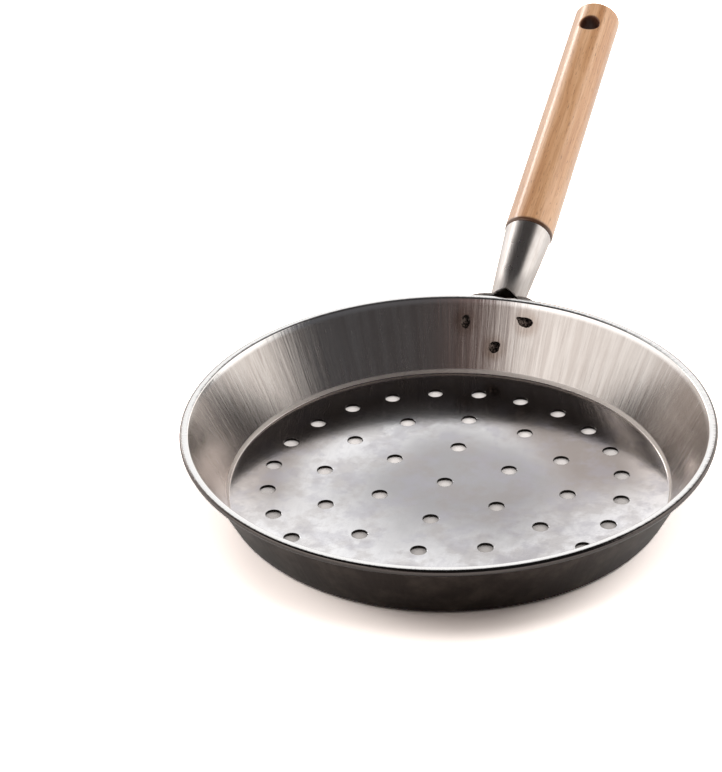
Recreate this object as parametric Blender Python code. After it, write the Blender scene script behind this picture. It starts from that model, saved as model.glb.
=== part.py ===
"""Chestnut roasting pan.

A pressed steel pan with a punched floor and a rolled rim, a socket rolled from sheet and plug
welded to its wall, and a turned wooden handle with a cross hole to hang it by.

Metres, +Z up. The handle leaves the rim on the +Y side. The pan stands on z = 0, and the origin
is the middle of the bounding box's underside, so the pan's own centre lies on its -Y side.
"""
from math import acos, atan2, cos, hypot, pi, radians, sin, tan

import bmesh
import bpy
from mathutils import Matrix, Vector

# Clearance between pieces that touch, and how far a cutter reaches past what it cuts
GAP = 0.0003
OVERRUN = 0.002

# Pan: one pressing of steel sheet
SHEET = 0.0012
RIM_RADIUS = 0.1400
PAN_HEIGHT = 0.0401
CURL_RADIUS = 0.00265
CURL_SWEEP = radians(285)
BASE_FLAT_RADIUS = 0.1143
CORNER_RADIUS = 0.0045

# Holes punched in the floor: one in the middle and three rings, each on the same ray. The
# punched pattern sits a little off the pan's centre.
HOLE_RADIUS = 0.0042
RING_RADII = (0.0361, 0.0657, 0.0940)
RING_COUNTS = (6, 12, 24)
PATTERN_TURN = radians(1.8)
PATTERN_SHIFT = (-0.0018, -0.0003)

# Handle line: how far outside the rim it starts and how high, how steeply it rises, and how far
# it turns off the pan's radius
LINE_START_OUT = 0.0020
LINE_START_HEIGHT = 0.0330
HANDLE_RISE = radians(23)
HANDLE_SKEW = radians(3.2)

# Socket: a cone rolled from sheet, notched over the rim and flared onto the wall.
# Distances are along the handle line from its start.
SOCKET_SHEET = 0.0012
SOCKET_MOUTH = 0.0534
SOCKET_MOUTH_RADIUS = 0.0136
SOCKET_NECK_RADIUS = 0.0097
NOTCH_FOOT = 0.0028
NOTCH_TOP = 0.0055
NOTCH_HALF_ANGLE = radians(135)
SEAM_GAP = 0.0006

# Flange: where the flared sheet meets the wall, its bend under the rim, and its edge on the wall.
# Heights up the wall are from FLANGE_HEIGHT.
FLANGE_TURN = radians(1.35)
FLANGE_HEIGHT = 0.0300
LANDING_HALF_WIDTH = 0.0232
LANDING_RISE = 0.0033
LANDING_CENTRE_DROP = 0.0165
LANDING_EAR_DROP = 0.0036
BEND_LIFT_MIDDLE = 0.0029
BEND_LIFT_EAR = 0.0122
BEND_UP_MIDDLE = 0.0054
BEND_UP_EAR = 0.0150
FLANGE_HALF_WIDTH = 0.0244
FLANGE_DROP = 0.0225
FLANGE_FULLNESS_SHARE = 1.6

# Wooden handle
HANDLE_LENGTH = 0.1861
HANDLE_NEAR_RADIUS = 0.0143
HANDLE_FAR_RADIUS = 0.0140
SHOULDER_ROUND = 0.0022
TENON_LENGTH = 0.0320
TENON_CHAMFER = 0.0020
HANDLE_END_DOME = 0.0050
HANG_HOLE_RADIUS = 0.0058
HANG_HOLE_FLARE = 0.0009
HANG_HOLE_FROM_END = 0.0211

# Screw that holds the handle in its socket, driven from below
SCREW_FROM_MOUTH = 0.0130
SCREW_HEAD_RADIUS = 0.0031
SCREW_HEAD_HEIGHT = 0.0014
SCREW_SHANK_RADIUS = 0.0013
SCREW_LENGTH = 0.0105
SCREW_POINT = 0.0030
SCREW_SLOT_WIDTH = 0.0007
SCREW_SLOT_DEPTH = 0.0006

# Plug welds: place on the wall from the flange's middle, and size of the nugget inside the pan
WELD_STEM_RADIUS = 0.0018
WELD_CAP_RADIUS = 0.0024
WELD_CAP_HEIGHT = 0.0007
WELD_LEFT_ACROSS = -0.0174
WELD_LEFT_UP = -0.0032
WELD_LEFT_HALF_WIDTH = 0.0025
WELD_LEFT_HALF_HEIGHT = 0.0038
WELD_RIGHT_ACROSS = 0.0176
WELD_RIGHT_UP = -0.0006
WELD_RIGHT_HALF_WIDTH = 0.0042
WELD_RIGHT_HALF_HEIGHT = 0.0029
WELD_LOWER_ACROSS = 0.0003
WELD_LOWER_UP = -0.0169
WELD_LOWER_HALF_WIDTH = 0.0030
WELD_LOWER_HALF_HEIGHT = 0.0033
WELD_NUGGET_HEIGHT = 0.0014
WELD_RIPPLE_SHARE = 0.10

# Faces around each round form
PAN_SIDES = 72
HOLE_SIDES = 16
CORNER_STEPS = 4
CURL_STEPS = 10
SOCKET_SIDES = 32
HANDLE_SIDES = 32
DOME_STEPS = 5
SMALL_SIDES = 14
SMOOTH_ANGLE = radians(40)

# Axes of the handle line: X across it, Y down from it and Z along it
HANDLE_TURN = Matrix.Rotation(-HANDLE_SKEW, 4, "Z") @ Matrix.Rotation(HANDLE_RISE - pi / 2, 4, "X")
HANDLE_LINE = Matrix.Translation((0, RIM_RADIUS + LINE_START_OUT, LINE_START_HEIGHT)) @ HANDLE_TURN

# The wall is the straight line that touches the corner's arc on one side and the curl on the other
CORNER_CENTRE = Vector((BASE_FLAT_RADIUS, CORNER_RADIUS))
CURL_CENTRE = Vector((RIM_RADIUS - CURL_RADIUS, PAN_HEIGHT - CURL_RADIUS))
CORNER_TO_CURL = CURL_CENTRE - CORNER_CENTRE
WALL_FLARE = acos((CURL_RADIUS + CORNER_RADIUS - SHEET) / CORNER_TO_CURL.length) \
    - atan2(CORNER_TO_CURL.y, CORNER_TO_CURL.x)


def clear_scene():
    for old in list(bpy.data.objects):
        bpy.data.objects.remove(old, do_unlink=True)


def material(name, colour, metallic, roughness):
    made = bpy.data.materials.new(name)
    made.use_nodes = True
    shader = made.node_tree.nodes["Principled BSDF"]
    shader.inputs["Base Color"].default_value = (*colour, 1.0)
    shader.inputs["Metallic"].default_value = metallic
    shader.inputs["Roughness"].default_value = roughness
    return made


def add_object(name, mesh_builder, look=None, parent=None):
    """Makes an object from a bmesh, closed and facing out, smooth where it is round."""
    bmesh.ops.recalc_face_normals(mesh_builder, faces=mesh_builder.faces)
    mesh = bpy.data.meshes.new(name)
    mesh_builder.to_mesh(mesh)
    mesh_builder.free()
    mesh.shade_smooth()
    mesh.set_sharp_from_angle(angle=SMOOTH_ANGLE)
    made = bpy.data.objects.new(name, mesh)
    bpy.context.collection.objects.link(made)
    if look is not None:
        mesh.materials.append(look)
    made.parent = parent
    return made


def empty(name, place, parent=None):
    made = bpy.data.objects.new(name, None)
    made.matrix_local = place
    made.parent = parent
    bpy.context.collection.objects.link(made)
    return made


def cut(target, cutter):
    """Takes the cutter out of the target; the cutter stays as a guide that isn't part of the object."""
    cutter.hide_render = True
    cutter.display_type = "WIRE"
    step = target.modifiers.new(cutter.name, "BOOLEAN")
    step.operation = "DIFFERENCE"
    step.solver = "EXACT"
    step.object = cutter


def even_shading(target):
    """Keeps large faces flat next to the small ones that the cuts leave."""
    step = target.modifiers.new("even_shading", "WEIGHTED_NORMAL")
    step.keep_sharp = True
    step.weight = 100


def revolve(outline, sides, builder=None, place=None):
    """Turns an outline of (radius, height) points about Z; a point at radius zero becomes a pole."""
    builder = builder or bmesh.new()
    place = place or Matrix.Identity(4)
    rings = []
    for radius, height in outline:
        if radius <= 0:
            rings.append([builder.verts.new(place @ Vector((0, 0, height)))])
            continue
        turns = [2 * pi * k / sides for k in range(sides)]
        rings.append([builder.verts.new(place @ Vector((radius * cos(a), radius * sin(a), height)))
                      for a in turns])
    for lower, upper in zip(rings, rings[1:]):
        for k in range(sides):
            corners = [lower[k % len(lower)], lower[(k + 1) % len(lower)],
                       upper[(k + 1) % len(upper)], upper[k % len(upper)]]
            builder.faces.new(list(dict.fromkeys(corners)))
    return builder, rings


def arc(centre, radius, start, end, steps):
    """Points of an arc in the outline's plane, both ends included."""
    angles = [start + (end - start) * k / steps for k in range(steps + 1)]
    return [(centre[0] + radius * cos(a), centre[1] + radius * sin(a)) for a in angles]


def wall_radius(height):
    """Radius of the wall's outer face at a height."""
    foot_radius = CORNER_CENTRE.x + CORNER_RADIUS * cos(WALL_FLARE)
    foot_height = CORNER_CENTRE.y - CORNER_RADIUS * sin(WALL_FLARE)
    return foot_radius + (height - foot_height) * tan(WALL_FLARE)


def wall_point(across, up, lift):
    """A point over the wall's outer face.

    across runs round the wall from the flange's middle, up runs up its slope from the flange's
    height, and lift stands off the face."""
    height = FLANGE_HEIGHT + up * cos(WALL_FLARE)
    radius = wall_radius(height)
    turn = across / radius - FLANGE_TURN
    out = radius + lift * cos(WALL_FLARE)
    return Vector((out * sin(turn), out * cos(turn), height - lift * sin(WALL_FLARE)))


def side_path(corner_radius, curl_radius, floor_height):
    """One face of the sheet, from the floor's flat edge up the wall and round the curl."""
    curl_start = pi - WALL_FLARE
    path = [(BASE_FLAT_RADIUS, floor_height)]
    path += arc(CORNER_CENTRE, corner_radius, -pi / 2, -WALL_FLARE, CORNER_STEPS)[1:]
    path += arc(CURL_CENTRE, curl_radius, curl_start, curl_start - CURL_SWEEP, CURL_STEPS)
    return path


def floor_hole_places():
    places = [(0.0, 0.0)]
    for radius, count in zip(RING_RADII, RING_COUNTS):
        for k in range(count):
            turn = pi / 2 + PATTERN_TURN + 2 * pi * k / count
            places.append((radius * cos(turn), radius * sin(turn)))
    return [(x + PATTERN_SHIFT[0], y + PATTERN_SHIFT[1]) for x, y in places]


def weld_frame(across, up):
    """Axes at a weld: origin on the wall's outer face, Z into the pan, X round it, Y up the slope."""
    origin = wall_point(across, up, 0)
    turn = atan2(origin.x, origin.y)
    round_wall = Vector((cos(turn), -sin(turn), 0))
    inward = Vector((-sin(turn) * cos(WALL_FLARE), -cos(turn) * cos(WALL_FLARE), sin(WALL_FLARE)))
    up_wall = inward.cross(round_wall)
    frame = Matrix((round_wall, up_wall, inward)).transposed().to_4x4()
    frame.translation = origin
    return frame


def weld_bore(name, frame, parent):
    """Cutter for the hole that a plug weld fills, through the wall and the socket's flange."""
    bore = WELD_STEM_RADIUS + GAP
    top = SHEET + OVERRUN
    bottom = -(GAP + SOCKET_SHEET + OVERRUN)
    builder, _ = revolve([(0, bottom), (bore, bottom), (bore, top), (0, top)], SMALL_SIDES)
    cutter = add_object(name, builder, parent=parent)
    cutter.matrix_local = frame
    return cutter


def build_pan_body(look, parent, weld_frames):
    inside = side_path(CORNER_RADIUS - SHEET, CURL_RADIUS, SHEET)
    outside = side_path(CORNER_RADIUS, CURL_RADIUS - SHEET, 0)
    builder, rings = revolve(inside + outside[::-1], PAN_SIDES)
    builder.faces.new(rings[0])
    builder.faces.new(rings[-1])
    pan = add_object("pan_body", builder, look, parent)

    punch = bmesh.new()
    for x, y in floor_hole_places():
        outline = [(0, -OVERRUN), (HOLE_RADIUS, -OVERRUN), (HOLE_RADIUS, SHEET + OVERRUN),
                   (0, SHEET + OVERRUN)]
        revolve(outline, HOLE_SIDES, punch, Matrix.Translation((x, y, 0)))
    cut(pan, add_object("floor_punch", punch, parent=parent))
    for k, frame in enumerate(weld_frames):
        cut(pan, weld_bore("wall_bore_%d" % k, frame, parent))
    even_shading(pan)


def socket_radius(along):
    """Outer radius of the socket's cone."""
    share = (along - NOTCH_FOOT) / (SOCKET_MOUTH - NOTCH_FOOT)
    return SOCKET_NECK_RADIUS + (SOCKET_MOUTH_RADIUS - SOCKET_NECK_RADIUS) * share


def socket_half_angle():
    return atan2(SOCKET_MOUTH_RADIUS - SOCKET_NECK_RADIUS, SOCKET_MOUTH - NOTCH_FOOT)


def cone_point(along, turn):
    """A point on the socket's cone; turn is measured from its lowest line."""
    radius = socket_radius(along)
    return HANDLE_LINE @ Vector((radius * sin(turn), radius * cos(turn), along))


def landing(share):
    """Where the flared sheet meets the wall, as (across, up)."""
    middle = (1 - share ** 2) ** 4
    up = LANDING_RISE - LANDING_CENTRE_DROP * middle - LANDING_EAR_DROP * share ** 8
    return Vector((LANDING_HALF_WIDTH * share, up))


def flange_edge(share):
    """Edge of the flange on the wall: a tongue below, an ear on each side."""
    turn = abs(share) * pi / 2
    power = 2 / FLANGE_FULLNESS_SHARE
    across = FLANGE_HALF_WIDTH * sin(turn) ** power
    drop = FLANGE_DROP * cos(turn) ** power if abs(share) < 1 else 0
    return Vector((across if share > 0 else -across, -drop))


def flare_curve(share, t):
    """From the cone's end to the wall, bent round below the rim's curl."""
    start = cone_point(NOTCH_FOOT, share * NOTCH_HALF_ANGLE)
    end_flat = landing(share)
    end = wall_point(end_flat.x, end_flat.y, GAP + SOCKET_SHEET)
    lift = BEND_LIFT_MIDDLE + (BEND_LIFT_EAR - BEND_LIFT_MIDDLE) * share ** 2
    up = end_flat.y + BEND_UP_MIDDLE + (BEND_UP_EAR - BEND_UP_MIDDLE) * share ** 8
    bend = wall_point(end_flat.x, up, lift)
    return start * (1 - t) ** 2 + bend * (2 * t * (1 - t)) + end * t * t


def row_normal(rows, i, j):
    """Direction out of the sheet at a grid point, from its neighbours."""
    last_row, last_column = len(rows) - 1, len(rows[0]) - 1
    along = rows[min(i + 1, last_row)][j] - rows[max(i - 1, 0)][j]
    across = rows[i][min(j + 1, last_column)] - rows[i][max(j - 1, 0)]
    return across.cross(along).normalized()


def socket_faces():
    """Outer and inner face of the socket as rows of points, from its mouth to the flange's edge."""
    shares = [-1 + 2 * k / SOCKET_SIDES for k in range(SOCKET_SIDES + 1)]
    outer = []
    for along in (SOCKET_MOUTH, (SOCKET_MOUTH + NOTCH_TOP) / 2, NOTCH_TOP):
        half_turn = pi - SEAM_GAP / 2 / socket_radius(along)
        outer.append([cone_point(along, share * half_turn) for share in shares])
    for step in (1 / 3, 2 / 3, 1):
        along = NOTCH_TOP + (NOTCH_FOOT - NOTCH_TOP) * step
        half_turn = pi + (NOTCH_HALF_ANGLE - pi) * step
        outer.append([cone_point(along, share * half_turn) for share in shares])
    for step in (1 / 6, 2 / 6, 3 / 6, 4 / 6, 5 / 6, 1):
        outer.append([flare_curve(share, step) for share in shares])
    inner = [[outer[i][j] - row_normal(outer, i, j) * SOCKET_SHEET for j in range(len(shares))]
             for i in range(len(outer) - 1)]
    for step in (0, 0.06, 0.35, 0.7, 1):
        spots = [landing(share).lerp(flange_edge(share), step) for share in shares]
        inner.append([wall_point(spot.x, spot.y, GAP) for spot in spots])
        if step > 0:
            outer.append([wall_point(spot.x, spot.y, GAP + SOCKET_SHEET) for spot in spots])
    return outer, inner


def sheet_solid(outer_rows, inner_rows):
    """A closed solid from two grids of points, one on each face of a sheet."""
    builder = bmesh.new()
    count_i, count_j = len(outer_rows), len(outer_rows[0])
    outer = [[builder.verts.new(point) for point in row] for row in outer_rows]
    inner = [[builder.verts.new(point) for point in row] for row in inner_rows]
    for i in range(count_i - 1):
        for j in range(count_j - 1):
            for grid in (outer, inner):
                builder.faces.new((grid[i][j], grid[i + 1][j], grid[i + 1][j + 1], grid[i][j + 1]))
    for i in range(count_i - 1):
        for j in (0, count_j - 1):
            builder.faces.new((outer[i][j], outer[i + 1][j], inner[i + 1][j], inner[i][j]))
    for j in range(count_j - 1):
        for i in (0, count_i - 1):
            builder.faces.new((outer[i][j], outer[i][j + 1], inner[i][j + 1], inner[i][j]))
    return builder


def build_socket(look, parent, weld_frames, screw_place):
    socket = add_object("handle_socket", sheet_solid(*socket_faces()), look, parent)
    for k, frame in enumerate(weld_frames):
        cut(socket, weld_bore("flange_bore_%d" % k, frame, parent))
    bore = SCREW_SHANK_RADIUS + GAP
    builder, _ = revolve([(0, -OVERRUN), (bore, -OVERRUN), (bore, SOCKET_SHEET + OVERRUN),
                          (0, SOCKET_SHEET + OVERRUN)], SMALL_SIDES)
    cutter = add_object("screw_bore", builder, parent=parent)
    cutter.matrix_local = screw_place
    cut(socket, cutter)
    even_shading(socket)


def handle_outline():
    """Outline of the wooden handle along the handle line."""
    def bore_radius(along):
        return socket_radius(along) - (SOCKET_SHEET + GAP) / cos(socket_half_angle())

    tenon_end = SOCKET_MOUTH - TENON_LENGTH
    shoulder = SOCKET_MOUTH + GAP
    dome_base = SOCKET_MOUTH + HANDLE_LENGTH - HANDLE_END_DOME
    outline = [(0, tenon_end),
               (bore_radius(tenon_end) - TENON_CHAMFER, tenon_end),
               (bore_radius(tenon_end + TENON_CHAMFER), tenon_end + TENON_CHAMFER),
               (bore_radius(SOCKET_MOUTH), shoulder)]
    round_centre = (HANDLE_NEAR_RADIUS - SHOULDER_ROUND, shoulder + SHOULDER_ROUND)
    outline += arc(round_centre, SHOULDER_ROUND, -pi / 2, 0, 3)
    for k in range(DOME_STEPS + 1):
        turn = pi / 2 * k / DOME_STEPS
        radius = HANDLE_FAR_RADIUS * cos(turn) if k < DOME_STEPS else 0
        outline.append((radius, dome_base + HANDLE_END_DOME * sin(turn)))
    return outline


def build_handle(look, parent):
    builder, _ = revolve(handle_outline(), HANDLE_SIDES)
    handle = add_object("wooden_handle", builder, look, parent)

    half_depth = HANDLE_NEAR_RADIUS + OVERRUN
    mouth = HANG_HOLE_RADIUS + HANG_HOLE_FLARE
    flare_foot = HANDLE_FAR_RADIUS - 2 * HANG_HOLE_FLARE
    side = [(0, -half_depth), (mouth, -half_depth), (mouth, -HANDLE_FAR_RADIUS),
            (HANG_HOLE_RADIUS, -flare_foot)]
    outline = side + [(radius, -height) for radius, height in side[::-1]]
    builder, _ = revolve(outline, 2 * SMALL_SIDES)
    cutter = add_object("hang_hole_drill", builder, parent=parent)
    along = SOCKET_MOUTH + HANDLE_LENGTH - HANG_HOLE_FROM_END
    cutter.matrix_local = Matrix.Translation((0, 0, along)) @ Matrix.Rotation(pi / 2, 4, "X")
    cut(handle, cutter)

    bore = SCREW_SHANK_RADIUS + GAP
    depth = SCREW_LENGTH + GAP
    builder, _ = revolve([(0, -OVERRUN), (bore, -OVERRUN), (bore, depth - SCREW_POINT), (0, depth)],
                         SMALL_SIDES)
    pilot = add_object("screw_pilot", builder, parent=parent)
    pilot.matrix_local = screw_in_handle()
    cut(handle, pilot)
    even_shading(handle)


def screw_in_handle():
    """Screw's place in the handle's own axes: on the socket's lowest line, pointing at the axis."""
    along = SOCKET_MOUTH - SCREW_FROM_MOUTH
    lean = Matrix.Rotation(pi / 2 - socket_half_angle(), 4, "X")
    return Matrix.Translation((0, socket_radius(along), along)) @ lean


def build_screw(look, parent):
    """Slotted round head under the socket, a plain shank and a point in the wood."""
    head_foot = -GAP
    dome = [(SCREW_HEAD_RADIUS * cos(pi / 2 * k / 3), head_foot - SCREW_HEAD_HEIGHT * sin(pi / 2 * k / 3))
            for k in (0, 1, 2)]
    outline = [(0, head_foot - SCREW_HEAD_HEIGHT)] + dome[::-1] + [
        (SCREW_SHANK_RADIUS, head_foot), (SCREW_SHANK_RADIUS, SCREW_LENGTH - SCREW_POINT),
        (0, SCREW_LENGTH)]
    builder, _ = revolve(outline, SMALL_SIDES)
    screw = add_object("handle_screw", builder, look, parent)
    screw.matrix_local = screw_in_handle()

    slot = bmesh.new()
    bmesh.ops.create_cube(slot, size=1)
    size = Vector((2 * SCREW_HEAD_RADIUS + OVERRUN, SCREW_SLOT_WIDTH, 2 * SCREW_SLOT_DEPTH))
    bmesh.ops.scale(slot, vec=size, verts=slot.verts)
    cutter = add_object("screw_slot", slot, parent=parent)
    top = Matrix.Translation((0, 0, head_foot - SCREW_HEAD_HEIGHT))
    cutter.matrix_local = screw_in_handle() @ top
    cut(screw, cutter)


def build_weld(name, frame, half_width, half_height, look, parent):
    """A plug weld: a low uneven nugget inside the pan, a stem through both sheets, a cap outside."""
    inner_face = SHEET + GAP
    outer_face = -(2 * GAP + SOCKET_SHEET)
    cap = [(0, outer_face - WELD_CAP_HEIGHT),
           (WELD_CAP_RADIUS * cos(pi / 4), outer_face - WELD_CAP_HEIGHT * sin(pi / 4)),
           (WELD_CAP_RADIUS, outer_face)]
    nugget_shares = [(1, 0), (cos(pi / 6), sin(pi / 6)), (cos(pi / 3), sin(pi / 3)), (0, 1)]
    outline = cap + [(WELD_STEM_RADIUS, outer_face), (WELD_STEM_RADIUS, inner_face)]
    outline += [(share, inner_face + WELD_NUGGET_HEIGHT * rise) for share, rise in nugget_shares]
    builder, rings = revolve(outline, SMALL_SIDES)
    for ring in rings[len(cap) + 2:]:
        for point in ring:
            turn = atan2(point.co.y, point.co.x)
            ripple = 1 + WELD_RIPPLE_SHARE * (sin(3 * turn) + cos(2 * turn + 1)) / 2
            point.co.x *= half_width * ripple
            point.co.y *= half_height * ripple
    weld = add_object(name, builder, look, parent)
    weld.matrix_local = frame


def handle_tip_reach():
    """How far the handle's rounded end reaches from the pan's centre along Y."""
    dome_base = HANDLE_LINE @ Vector((0, 0, SOCKET_MOUTH + HANDLE_LENGTH - HANDLE_END_DOME))
    along = HANDLE_TURN.row[1][2] * HANDLE_END_DOME
    across = hypot(HANDLE_TURN.row[1][0], HANDLE_TURN.row[1][1]) * HANDLE_FAR_RADIUS
    return dome_base.y + hypot(along, across)


def build():
    clear_scene()
    pan_steel = material("pan_steel", (0.16, 0.155, 0.16), 1.0, 0.32)
    socket_steel = material("socket_steel", (0.45, 0.44, 0.43), 1.0, 0.22)
    beech = material("beech", (0.62, 0.38, 0.20), 0.0, 0.45)
    weld_metal = material("weld_metal", (0.07, 0.06, 0.055), 1.0, 0.30)
    screw_steel = material("screw_steel", (0.50, 0.50, 0.50), 1.0, 0.30)

    centre_y = (RIM_RADIUS - handle_tip_reach()) / 2
    pan_centre = empty("pan_centre", Matrix.Translation((0, centre_y, 0)))
    handle_axis = empty("handle_axis", HANDLE_LINE, pan_centre)

    welds = (("weld_left", WELD_LEFT_ACROSS, WELD_LEFT_UP, WELD_LEFT_HALF_WIDTH,
              WELD_LEFT_HALF_HEIGHT),
             ("weld_right", WELD_RIGHT_ACROSS, WELD_RIGHT_UP, WELD_RIGHT_HALF_WIDTH,
              WELD_RIGHT_HALF_HEIGHT),
             ("weld_lower", WELD_LOWER_ACROSS, WELD_LOWER_UP, WELD_LOWER_HALF_WIDTH,
              WELD_LOWER_HALF_HEIGHT))
    weld_frames = [weld_frame(across, up) for _, across, up, _, _ in welds]

    build_pan_body(pan_steel, pan_centre, weld_frames)
    build_socket(socket_steel, pan_centre, weld_frames, HANDLE_LINE @ screw_in_handle())
    build_handle(beech, handle_axis)
    build_screw(screw_steel, handle_axis)
    for (name, _, _, half_width, half_height), frame in zip(welds, weld_frames):
        build_weld(name, frame, half_width, half_height, weld_metal, pan_centre)
    bpy.context.view_layer.update()


build()
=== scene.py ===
from math import acos, atan2, cos, exp, hypot, pi, radians, sin, sqrt, tan

import bmesh
import bpy
from mathutils import Matrix, Vector, noise


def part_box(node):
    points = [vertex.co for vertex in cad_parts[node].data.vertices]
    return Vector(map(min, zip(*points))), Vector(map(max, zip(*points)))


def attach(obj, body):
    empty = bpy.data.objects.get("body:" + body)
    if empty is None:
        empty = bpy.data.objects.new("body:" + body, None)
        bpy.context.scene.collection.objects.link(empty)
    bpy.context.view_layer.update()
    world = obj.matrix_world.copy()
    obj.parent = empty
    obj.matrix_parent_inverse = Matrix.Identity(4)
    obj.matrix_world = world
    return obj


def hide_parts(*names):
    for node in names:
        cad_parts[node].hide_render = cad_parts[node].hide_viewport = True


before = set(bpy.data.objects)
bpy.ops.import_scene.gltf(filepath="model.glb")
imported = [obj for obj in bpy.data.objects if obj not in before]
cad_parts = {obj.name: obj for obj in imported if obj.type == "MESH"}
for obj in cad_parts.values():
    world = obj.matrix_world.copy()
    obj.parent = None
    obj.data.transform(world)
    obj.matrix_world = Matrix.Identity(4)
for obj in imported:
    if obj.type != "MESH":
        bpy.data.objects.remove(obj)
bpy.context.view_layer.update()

# Sizes of the solids, in metres

# Clearance between pieces, and how far a cutter runs past what it cuts
GAP = 0.0003
OVERRUN = 0.002

# Pan
SHEET = 0.0012
RIM_RADIUS = 0.1400
PAN_HEIGHT = 0.0401
CURL_RADIUS = 0.00265
CURL_SWEEP = radians(285)
BASE_FLAT_RADIUS = 0.1143
CORNER_RADIUS = 0.0045
# Shown only here: the inner crease, and the curl's face as a straight piece and then bends, each
# to a direction in degrees with its radius and steps
CREASE_RADIUS = 0.0009
CURL_STRAIGHT = 0.00093
CURL_BENDS = ((102, 0.0008, 6), (84, 0.0095, 8), (0, 0.00119, 12), (-115, 0.0032, 12))

# Holes punched in the floor: one in the middle and three rings, with a rolled lip
HOLE_RADIUS = 0.0042
HOLE_LIP = 0.00025
RING_RADII = (0.0361, 0.0657, 0.0940)
RING_COUNTS = (6, 12, 24)
PATTERN_TURN = radians(1.8)
PATTERN_SHIFT = (-0.0018, -0.0003)

# Handle line
LINE_START_OUT = 0.0020
LINE_START_HEIGHT = 0.0330
HANDLE_RISE = radians(23)
HANDLE_SKEW = radians(3.2)

# Socket: its cone, and the notch that clears the rim
SOCKET_SHEET = 0.0012
SOCKET_MOUTH = 0.0534
SOCKET_MOUTH_RADIUS = 0.0136
SOCKET_NECK_RADIUS = 0.0097
NOTCH_FOOT = 0.0028
NOTCH_TOP = 0.0055
NOTCH_HALF_ANGLE = radians(135)
SEAM_GAP = 0.00012

# Socket: its flange, where the sheet lands on the wall and how it bends on the way
FLANGE_TURN = radians(1.35)
FLANGE_HEIGHT = 0.0300
FLANGE_HALF_WIDTH = 0.0244
FLANGE_DROP = 0.0225
FLANGE_FULLNESS_SHARE = 1.6
LANDING_HALF_WIDTH = 0.0232
LANDING_RISE = 0.0033
LANDING_CENTRE_DROP = 0.0165
LANDING_EAR_DROP = 0.0036
BEND_LIFT_MIDDLE = 0.0029
BEND_LIFT_EAR = 0.0122
BEND_UP_MIDDLE = 0.0054
BEND_UP_EAR = 0.0150

# Wooden handle
HANDLE_LENGTH = 0.1861
HANDLE_NEAR_RADIUS = 0.0143
HANDLE_FAR_RADIUS = 0.0140
SHOULDER_ROUND = 0.0022
TENON_LENGTH = 0.0320
TENON_CHAMFER = 0.0020
HANDLE_END_DOME = 0.0050
HANG_HOLE_RADIUS = 0.0058
HANG_HOLE_ROUND = 0.0011
HANG_HOLE_FROM_END = 0.0211

# Screw
SCREW_FROM_MOUTH = 0.0130
SCREW_HEAD_RADIUS = 0.0031
SCREW_HEAD_HEIGHT = 0.0014
SCREW_SHANK_RADIUS = 0.0013
SCREW_LENGTH = 0.0105
SCREW_POINT = 0.0030
SCREW_SLOT_WIDTH = 0.0007
SCREW_SLOT_DEPTH = 0.0006
SCREW_THREADS = 6
SCREW_ROOT_SHARE = 0.8

# Welds: place on the wall (across, up), half width, half height, and the tail's turn and share
WELDS = {"left": (-0.0174, -0.0032, 0.0025, 0.0038, radians(55), 0.22),
         "right": (0.0176, -0.0006, 0.0042, 0.0029, radians(150), 0.50),
         "lower": (0.0003, -0.0169, 0.0030, 0.0033, radians(40), 0.35)}
WELD_STEM_RADIUS = 0.0018
WELD_CAP_RADIUS = 0.0024
WELD_CAP_HEIGHT = 0.0007
WELD_NUGGET_HEIGHT = 0.0014
WELD_TAIL_SPREAD = 0.42

# Sides of the round forms, and the angle from which an edge stays sharp
PAN_SIDES = 192
HANDLE_SIDES = 96
HANG_HOLE_SIDES = 72
WELD_SIDES = 56
SCREW_SIDES = 48
WELD_BORE_SIDES = 40
HOLE_SIDES = 36
SCREW_BORE_SIDES = 32
SHARP_ANGLE = 35
WELD_SHARP_ANGLE = 50

HANDLE_TURN = Matrix.Rotation(-HANDLE_SKEW, 4, "Z") @ Matrix.Rotation(HANDLE_RISE - pi / 2, 4, "X")
HANDLE_LINE = Matrix.Translation((0, RIM_RADIUS + LINE_START_OUT, LINE_START_HEIGHT)) @ HANDLE_TURN
CORNER_CENTRE = Vector((BASE_FLAT_RADIUS, CORNER_RADIUS))
CURL_CENTRE = Vector((RIM_RADIUS - CURL_RADIUS, PAN_HEIGHT - CURL_RADIUS))
CORNER_TO_CURL = CURL_CENTRE - CORNER_CENTRE
WALL_FLARE = acos((CURL_RADIUS + CORNER_RADIUS - SHEET) / CORNER_TO_CURL.length) \
    - atan2(CORNER_TO_CURL.y, CORNER_TO_CURL.x)

PAN_LOW, PAN_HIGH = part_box("pan_body")
PAN_PLACE = Matrix.Translation((0, (PAN_LOW.y + PAN_HIGH.y) / 2, 0))
HANDLE_PLACE = PAN_PLACE @ HANDLE_LINE

# Camera: the photograph's view, found from the rim, the base, the holes and the handle
PHOTO_WIDTH, PHOTO_HEIGHT = 722, 772
FOCAL_PIXELS = 2371
VIEW_TURN = radians(16.35)
VIEW_RIGHT = Vector((0.99933, -0.01823, -0.03158))
VIEW_UP = Vector((0.03647, 0.49967, 0.86545))
VIEW_PLACE = Vector((-0.0444, -1.0623, 0.6753))
SENSOR = 36

# Ground: its half width, and how far below the pan it lies
GROUND_HALF_WIDTH = 6
GROUND_DROP = 0.0003

# Light levels, where 1 renders white: the ground round the pan; the ground under the pan, seen
# through the holes, with a painted shadow, lighter at the back and deeper at the front; and the
# ground as it lights the pan
GROUND_ROUND = (2.5, 2.32, 2.22)
GROUND_PAINTED_SHADOW_BACK = (0.88, 0.84, 0.82)
GROUND_PAINTED_SHADOW_FRONT = (0.42, 0.40, 0.39)
GROUND_PLAIN = (0.90, 0.89, 0.88)
# The even light from below and from above
EVEN_LIGHT = 0.72
EVEN_LOW = (0.05, 0.042, 0.038)
EVEN_HIGH = (1.0, 0.97, 0.95)
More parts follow.
